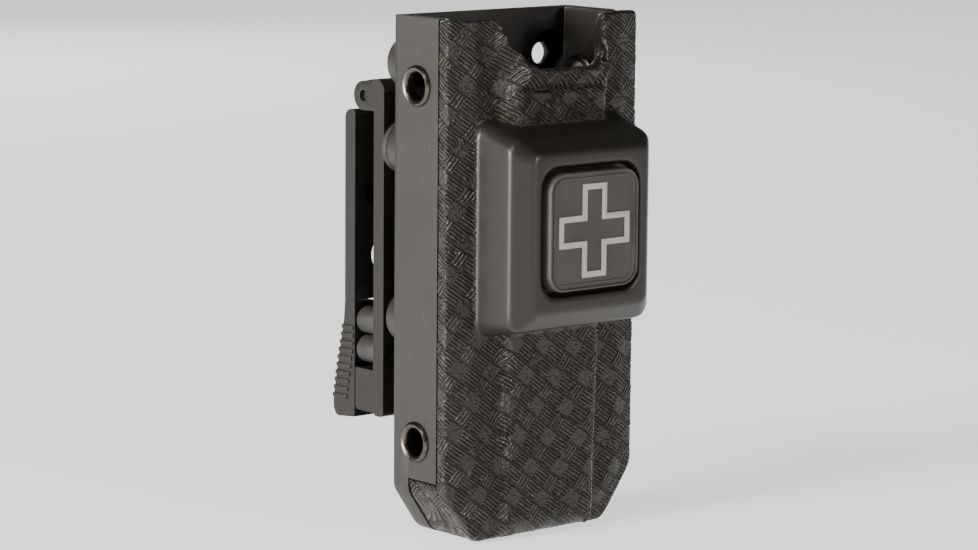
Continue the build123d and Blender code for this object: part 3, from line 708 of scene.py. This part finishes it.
@dataclass
class FrontShell:
    """The embossed front half, with the weave raised on its sheet and a plain boss."""

    wardrobe: Wardrobe
    depth: float = 0.00026
    voxel: float = 0.00066
    inside_flat: float = math.radians(2.0)
    side_y: float = -0.0094
    foot_top: float = 0.0134
    foot_y: float = 0.0009
    boss_half: float = 0.0211
    boss_low: float = 0.0468
    boss_high: float = 0.0948
    boss_y: float = -0.0159
    boss_lean: float = 0.36
    shoulder_y: float = -0.0137
    crease_x: float = 0.0136
    crease_rise: float = 0.00050
    crease_width: float = 0.00035
    lip_z: float = 0.1009
    lip_half: float = 0.0128
    lip_blur: float = 0.001
    lip_width: float = 0.00055
    groove: float = 0.0007
    side_start: float = 0.0165
    under_z: float = 0.004
    boss_margin: float = 0.0016
    boss_edge: tuple[float, float] = (-0.0006, 0.0008)
    ragged: float = 0.0006
    ragged_waves: tuple[float, float] = (1100.0, 900.0)
    boss_top: tuple[float, float] = (-0.006, 0.002)
    rest_pull: float = 0.9
    unroll_depth: float = 16.5
    unroll_share: float = 0.9
    unroll_edge: tuple[float, float] = (3.0, 9.0)
    stretch_left: float = 0.98
    stretch_right: float = 0.86
    weave: Weave = field(default_factory=Weave)

    def build(self) -> bpy.types.Object:
        """Builds the shell.

        Returns:
            The piece that stands for the CAD node.
        """
        source = self._source()
        form = self._remeshed(source)
        bpy.data.objects.remove(source)
        place = np.array([v.co for v in form.verts])
        normal = self._normals(form)
        mask = self._mask(place, normal)
        self._refine(form, mask)
        place = np.array([v.co for v in form.verts])
        normal = self._normals(form)
        mask = self._mask(place, normal)
        sheet = self._sheet(place)
        relief = self.weave.relief(sheet[:, 0], sheet[:, 1])
        sunk = (1 - relief) * mask * self.depth + self._folds(place, normal)
        for vert, point, direction, low in zip(form.verts, place, normal, sunk):
            vert.co = Vector(point - direction * low)
        piece = piece_from("front_shell_embossed", form, 70.0)
        self._store(piece, sheet, mask)
        self.wardrobe.dress(piece, Slot.FRONT_SHEET)
        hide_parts("front_shell")
        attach(piece, "case")
        LOG.info("%s: %d faces", piece.name, len(piece.data.polygons))
        return piece

    def _source(self) -> bpy.types.Object:
        """The CAD shape as a working object."""
        form = cad_form("front_shell")
        mesh = bpy.data.meshes.new("front_source")
        form.to_mesh(mesh)
        form.free()
        source = bpy.data.objects.new("front_source", mesh)
        bpy.context.scene.collection.objects.link(source)
        return source

    def _remeshed(self, source: bpy.types.Object) -> bmesh.types.BMesh:
        """An even mesh over the source.

        Args:
            source: the working object.

        Returns:
            The even mesh.
        """
        remesh = source.modifiers.new("even", "REMESH")
        remesh.mode = "VOXEL"
        remesh.voxel_size = self.voxel
        remesh.adaptivity = 0.0
        graph = bpy.context.evaluated_depsgraph_get()
        form = bmesh.new()
        form.from_object(source, graph)
        source.modifiers.clear()
        self._settle(form, source)
        self._thin_inside(form)
        return form

    def _thin_inside(self, form: bmesh.types.BMesh) -> None:
        """Joins the flat faces of the smooth inside, which looks towards the middle of the case."""
        form.normal_update()
        inside = set()
        for face in form.faces:
            middle = face.calc_center_median()
            if face.normal.x * middle.x + face.normal.y * middle.y < 0:
                inside.add(face)
        edges = [e for e in form.edges if all(f in inside for f in e.link_faces)]
        verts = [v for v in form.verts if all(f in inside for f in v.link_faces)]
        bmesh.ops.dissolve_limit(form, angle_limit=self.inside_flat, verts=verts, edges=edges)

    @staticmethod
    def _settle(form: bmesh.types.BMesh, source: bpy.types.Object) -> None:
        """Relaxes the voxel steps and puts the mesh back on the source's surface."""
        tree = BVHTree.FromObject(source, bpy.context.evaluated_depsgraph_get())
        for _ in range(2):
            bmesh.ops.smooth_vert(form, verts=form.verts, factor=0.5, use_axis_x=True, use_axis_y=True,
                                  use_axis_z=True)
        for vert in form.verts:
            found = tree.find_nearest(vert.co)
            if found[0] is not None:
                vert.co = vert.co.lerp(found[0], FrontShell.rest_pull)
        for _ in range(3):
            bmesh.ops.smooth_vert(form, verts=form.verts, factor=0.5, use_axis_x=True, use_axis_y=True,
                                  use_axis_z=True)

    @staticmethod
    def _normals(form: bmesh.types.BMesh) -> np.ndarray:
        """Outward directions of a mesh's points."""
        form.normal_update()
        return np.array([v.normal for v in form.verts])

    def _mask(self, place: np.ndarray, normal: np.ndarray) -> np.ndarray:
        """How much of the emboss each point takes.

        Args:
            place: points.
            normal: their outward directions.

        Returns:
            1 on the textured sheet, 0 on the boss and inside.
        """
        x, y, z = place.T
        front = smooth_step(-normal[:, 1], 0.05, 0.3) * smooth_step(y, self.side_y, self.side_y - 0.001)
        outward = np.sign(x) * normal[:, 0] - 0.6 * np.minimum(normal[:, 2], 0.0)
        rear = np.where(z < self.foot_top, self.foot_y, self.side_y)
        side = smooth_step(outward, 0.25, 0.6) * smooth_step(y, rear + 0.0003, rear - 0.0005)
        side = side * (np.abs(x) > self.side_start)
        under = smooth_step(-normal[:, 2], 0.4, 0.8) * (z < self.under_z) * (y < self.side_y)
        outer = np.maximum(np.maximum(front, side), under)
        high = self.boss_high - self.boss_lean * np.maximum(self.shoulder_y - y, 0.0)
        away = np.maximum(np.abs(x) - self.boss_half, np.maximum(self.boss_low - z, z - high))
        waves = np.sin(x * self.ragged_waves[0] + 1.3) * np.sin(z * self.ragged_waves[1]) * self.ragged
        free = smooth_step(away + waves, *self.boss_edge)
        boss = ((np.abs(x) < self.boss_half + self.boss_margin) & (z > self.boss_low + 0.0003)
                & (z < high - 0.0004) & (y < self.boss_y))
        top = (smooth_step(normal[:, 2], 0.35, 0.6) * (z > self.boss_high + self.boss_top[0])
               * (z < self.boss_high + self.boss_top[1]))
        return outer * free * ~boss * (1 - top)

    def _folds(self, place: np.ndarray, normal: np.ndarray) -> np.ndarray:
        """Depth of the soft marks that the drawn sheet keeps.

        Args:
            place: points of the shell.
            normal: their outward directions.

        Returns:
            How far each point sinks; a rise is negative.
        """
        x, y, z = place.T
        front = smooth_step(-normal[:, 1], 0.2, 0.6) * (y < self.side_y)
        within = smooth_step(np.abs(x), self.lip_half + self.lip_blur, self.lip_half - self.lip_blur)
        under_lip = np.exp(-((z - self.lip_z) / self.lip_width) ** 2) * within
        above = smooth_step(z, self.boss_high, self.boss_high + 0.002)
        below = smooth_step(z, self.boss_low, self.boss_low - 0.002)
        crease = np.exp(-((x - self.crease_x) / self.crease_width) ** 2) * np.maximum(above, below)
        sunk = under_lip * self.groove - crease * self.crease_rise
        for across, up, wide, tall, deep in DENTS:
            sunk = sunk + np.exp(-((x - across) / wide) ** 2 - ((z - up) / tall) ** 2) * deep
        return sunk * front

    def _sheet(self, place: np.ndarray) -> np.ndarray:
        """Millimetres across and up the unrolled sheet.

        Args:
            place: points of the shell.

        Returns:
            One pair per point; the sides unroll beyond the front's edge, and the middle is stretched.
        """
        low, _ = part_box("front_shell")
        half = -low.x
        x, y, z = place.T / MM
        corner, reach = self.unroll_edge
        round_x = half / MM - corner
        depth = np.maximum(y - (low.y / MM + self.unroll_depth), 0.0)
        near_edge = smooth_step(np.abs(x), round_x - reach, round_x)
        turn = np.sign(x) * depth * self.unroll_share * near_edge
        stretch = np.where(x < 0, x * self.stretch_left, x * self.stretch_right)
        return np.stack([stretch + turn, z], axis=1)

    def _refine(self, form: bmesh.types.BMesh, mask: np.ndarray) -> None:
        """Splits the faces that carry the emboss."""
        form.verts.ensure_lookup_table()
        edges = [e for e in form.edges if min(mask[e.verts[0].index], mask[e.verts[1].index]) > 0.02]
        bmesh.ops.subdivide_edges(form, edges=edges, cuts=1, use_grid_fill=True)
        form.verts.index_update()

    @staticmethod
    def _store(piece: bpy.types.Object, sheet: np.ndarray, mask: np.ndarray) -> None:
        """Keeps the sheet's coordinates and the mask on the mesh for its finish."""
        mesh = piece.data
        layer = mesh.uv_layers.new(name=WEAVE_MAP)
        corner = np.empty(len(mesh.loops), np.int32)
        mesh.loops.foreach_get("vertex_index", corner)
        layer.data.foreach_set("uv", (sheet[corner] / SHEET_SPAN).astype(np.float32).ravel())
        attribute = mesh.attributes.new(WEAVE_MASK, "FLOAT", "POINT")
        attribute.data.foreach_set("value", mask.astype(np.float32))


@dataclass
class Fittings:
    """The smooth back half, the eyelets and the case's fasteners."""

    wardrobe: Wardrobe
    sheet_round: float = 0.0005
    rubber_round: float = 0.0002
    steel_round: float = 0.00012
    screw_round: float = 0.0001
    bore: float = 0.00305
    rise: float = 0.00125
    steps: int = 56

    def build(self) -> None:
        """Builds every fitting."""
        softened_node("back_shell", self.sheet_round, "case", Slot.BACK_SHEET, self.wardrobe)
        for row in ("lower", "upper"):
            for side in ("left", "right"):
                self._eyelet(f"eyelet_{row}_{side}", -1.0 if side == "left" else 1.0)
                softened_node(f"belt_post_{row}_{side}", self.rubber_round, "case",
                              Slot.SPACER_RUBBER, self.wardrobe)
        for place in ("left", "right", "lower"):
            softened_node(f"spacer_washer_{place}", self.rubber_round, "case", Slot.SPACER_RUBBER,
                          self.wardrobe)
            for fastener in ("post_nut", "mount_screw"):
                softened_node(f"{fastener}_{place}", self.steel_round, "case", Slot.BLACK_STEEL,
                              self.wardrobe)
        softened_node("post_screws", self.screw_round, "case", Slot.BLACK_STEEL, self.wardrobe)

    def _eyelet(self, node: str, side: float) -> None:
        """Spins one eyelet: a domed flange, a barrel and the curl that clenches it inside.

        Args:
            node: the CAD node that it stands for.
            side: -1 on the left wall, 1 on the right.
        """
        low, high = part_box(node)
        centre = (low + high) / 2
        flange = (high.z - low.z) / 2
        face = high.x if side > 0 else low.x
        inner = low.x if side > 0 else high.x
        bore, rise = self.bore, self.rise
        form = bmesh.new()
        corners = [
            (inner, bore + 0.0001), (inner + side * 0.0003, bore), (face - side * 0.0008, bore),
            (face - side * 0.0004, bore + 0.0002), (face - side * 0.0001, bore + 0.0006),
            (face, bore + 0.00095), (face - side * 0.0002, flange - 0.0004),
            (face - side * 0.0006, flange - 0.00002), (face - side * rise * 0.9, flange),
            (face - side * rise, flange - 0.0001), (face - side * (rise + 0.0001), bore + 0.0005),
            (face - side * 0.0048, bore + 0.00045), (inner + side * 0.0014, bore + 0.00045),
            (inner + side * 0.0012, bore + 0.0012), (inner + side * 0.0006, bore + 0.0014),
            (inner + side * 0.0001, bore + 0.0009),
        ]
        ring = [form.verts.new((x, centre.y, centre.z + radius)) for x, radius in corners]
        lines = [form.edges.new((ring[k], ring[(k + 1) % len(ring)])) for k in range(len(ring))]
        bmesh.ops.spin(form, geom=[*ring, *lines], cent=(face, centre.y, centre.z), axis=(1, 0, 0),
                       angle=math.tau, steps=self.steps, use_merge=True, use_duplicate=False)
        bmesh.ops.recalc_face_normals(form, faces=form.faces)
        piece = piece_from(node + "_spun", form, 60.0)
        self.wardrobe.dress(piece, Slot.EYELET_METAL)
        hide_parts(node)
        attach(piece, "case")
        LOG.info("%s: %d faces", piece.name, len(piece.data.polygons))


@dataclass
class Badge:
    """The rubber badge with its rims and outlined cross."""

    wardrobe: Wardrobe
    corner: float = 0.0042
    corner_steps: int = 10
    rim: float = 0.00055
    gap: float = 0.00055
    rise: float = 0.00035
    second_rise: float = 0.0002
    slope: float = 0.00012
    edge: float = 0.0001
    pad_edge: float = 0.00008

    def build(self) -> None:
        """Builds the badge."""
        softened_node("badge_pad", self.pad_edge, "case", Slot.ADHESIVE_PAD, self.wardrobe)
        softened_node("badge_cross", self.edge, "case", Slot.BADGE_INK, self.wardrobe)
        self._plate()

    def _plate(self) -> None:
        """Raises the plate from a rounded square, one inset at a time."""
        low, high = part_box("badge_base")
        centre = (low + high) / 2
        half = (high.x - low.x) / 2
        thick = high.y - low.y - self.rise
        form = bmesh.new()
        turn = Matrix.Translation((centre.x, high.y, centre.z)) @ Matrix.Rotation(math.pi / 2, 4, "X")
        bmesh.ops.create_grid(form, x_segments=1, y_segments=1, size=half, matrix=turn)
        bmesh.ops.bevel(form, geom=list(form.verts), offset=self.corner, offset_type="OFFSET",
                        segments=self.corner_steps, profile=0.5, affect="VERTICES", material=-1)
        face = form.faces[:][0]
        if face.normal.y > 0:
            bmesh.ops.reverse_faces(form, faces=[face])
        steps = [
            (0.0, thick - self.edge), (self.edge, self.edge + self.rise - self.slope),
            (self.slope, self.slope), (self.rim - self.edge - 2 * self.slope, 0.0),
            (self.slope, -self.slope), (self.slope, self.slope - self.rise), (self.gap - self.slope, 0.0),
            (self.slope, self.second_rise), (self.rim - 2 * self.slope, 0.0),
            (self.slope, -self.second_rise), (self.gap, 0.0),
        ]
        base = form.copy()
        for inset, rise in steps:
            face = self._step(form, face, inset, rise)
        bmesh.ops.reverse_faces(base, faces=base.faces)
        joined = bpy.data.meshes.new("badge_rear")
        base.to_mesh(joined)
        base.free()
        form.from_mesh(joined)
        bpy.data.meshes.remove(joined)
        bmesh.ops.remove_doubles(form, verts=form.verts, dist=1e-6)
        piece = piece_from("badge_plate", form, 35.0)
        self.wardrobe.dress(piece, Slot.BADGE_RUBBER)
        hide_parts("badge_base")
        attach(piece, "case")
        LOG.info("%s: %d faces", piece.name, len(piece.data.polygons))

    @staticmethod
    def _step(form: bmesh.types.BMesh, face: bmesh.types.BMFace, inset: float,
              rise: float) -> bmesh.types.BMFace:
        """Takes one step of the plate's profile.

        Args:
            form: the plate.
            face: its foremost face.
            inset: how far the step goes in.
            rise: how far the step goes forward.

        Returns:
            The foremost face after the step.
        """
        if inset > 0:
            bmesh.ops.inset_region(form, faces=[face], thickness=inset, use_even_offset=True)
            bmesh.ops.translate(form, verts=face.verts, vec=(0.0, -rise, 0.0))
            return face
        made = bmesh.ops.extrude_discrete_faces(form, faces=[face])["faces"][0]
        bmesh.ops.translate(form, verts=made.verts, vec=(0.0, -rise, 0.0))
        return made


@dataclass
class Clip:
    """The hinged belt clip: base, gate, levers, lock slide and pin."""

    wardrobe: Wardrobe
    plate_edge: float = 0.0006
    small_edge: float = 0.00025
    hook_edge: float = 0.00015
    pin_edge: float = 0.00012
    seam_below: float = 0.0008
    seam_above: float = 0.0006

    def build(self) -> None:
        """Builds the clip."""
        softened_node("clip_base", self.plate_edge, "case", Slot.CLIP_PLASTIC, self.wardrobe)
        _, lever_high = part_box("release_lever_left")
        seam = (lever_high.z - self.seam_below, lever_high.z + self.seam_above)
        softened_node("gate", self.plate_edge, "gate", Slot.CLIP_PLASTIC, self.wardrobe, seam)
        for side in ("left", "right"):
            softened_node(f"release_lever_{side}", self.small_edge, f"lever_{side}", Slot.CLIP_PLASTIC,
                          self.wardrobe, seam)
            softened_node(f"lever_hook_{side}", self.hook_edge, f"lever_{side}", Slot.CLIP_PLASTIC,
                          self.wardrobe)
        softened_node("lock_slide", self.hook_edge, "lock", Slot.CLIP_PLASTIC, self.wardrobe)
        softened_node("hinge_pin", self.pin_edge, "case", Slot.BLACK_STEEL, self.wardrobe)


# ------------------------------------------------------------------ the studio
@dataclass
class Studio:
    """Pale floor, soft light and the camera."""

    azimuth: float = -40.66
    elevation: float = 8.74
    roll: float = 0.49
    distance: float = 0.783
    target: tuple[float, float, float] = (0.00286, 0.007775, 0.05577)
    lens: float = 126.5
    room: float = 0.08
    glow: float = 0.96

    def build(self) -> None:
        """Sets the stage."""
        self._floor()
        self._world()
        self._lamp("key", (-1.25, 0.10, 0.24), 0.45, 36.0)
        self._lamp("front", (0.25, -1.20, 0.36), 0.25, 6.0)
        self._lamp("high", (-0.9, -0.25, 0.9), 0.18, 3.0)
        self._lamp("rear", (0.5, 1.2, 0.5), 0.4, 4.0)
        self._camera()

    def _floor(self) -> None:
        """Lays the floor."""
        form = bmesh.new()
        bmesh.ops.create_grid(form, x_segments=2, y_segments=2, size=40.0)
        floor = piece_from("floor", form)
        shader = Shader("paper")
        cloud = shader.noise(3, 2)
        shader.set(Base_Color=shader.mix(cloud, (0.90, 0.90, 0.90), (0.94, 0.94, 0.94)), Roughness=0.9,
                   Emission_Color=WHITE, Emission_Strength=self.glow)
        floor.data.materials.append(shader.material)

    def _world(self) -> None:
        """Fills the room with even light."""
        world = bpy.data.worlds.new("room")
        world.use_nodes = True
        background = world.node_tree.nodes["Background"]
        background.inputs["Color"].default_value = (1.0, 1.0, 1.0, 1.0)
        background.inputs["Strength"].default_value = self.room
        bpy.context.scene.world = world

    def _lamp(self, name: str, place: tuple[float, float, float], size: float, power: float) -> None:
        """Adds a square soft light that faces the case.

        Args:
            name: its name.
            place: where it hangs.
            size: side of the square.
            power: watts.
        """
        data = bpy.data.lights.new(name, "AREA")
        data.size = size
        data.energy = power
        lamp = bpy.data.objects.new(name, data)
        lamp.location = place
        lamp.rotation_euler = (Vector(self.target) - Vector(place)).to_track_quat("-Z", "Y").to_euler()
        bpy.context.scene.collection.objects.link(lamp)

    def _camera(self) -> None:
        """Places the camera."""
        azimuth, elevation = math.radians(self.azimuth), math.radians(self.elevation)
        level = math.cos(elevation)
        away = Vector((math.sin(azimuth) * level, -math.cos(azimuth) * level, math.sin(elevation)))
        data = bpy.data.cameras.new("camera")
        data.lens = self.lens
        data.sensor_width = 36.0
        camera = bpy.data.objects.new("camera", data)
        camera.location = Vector(self.target) + away * self.distance
        aim = (-away).to_track_quat("-Z", "Y").to_matrix()
        roll = Matrix.Rotation(math.radians(self.roll), 3, "Z")
        camera.rotation_euler = (aim @ roll).to_euler()
        bpy.context.scene.collection.objects.link(camera)
        bpy.context.scene.camera = camera


def main() -> None:
    """Builds the case and its studio."""
    logging.basicConfig(level=logging.INFO, format="%(name)s: %(message)s")
    wardrobe = Wardrobe()
    FrontShell(wardrobe).build()
    Fittings(wardrobe).build()
    Badge(wardrobe).build()
    Clip(wardrobe).build()
    Studio().build()


if __name__ == "__main__":
    main()
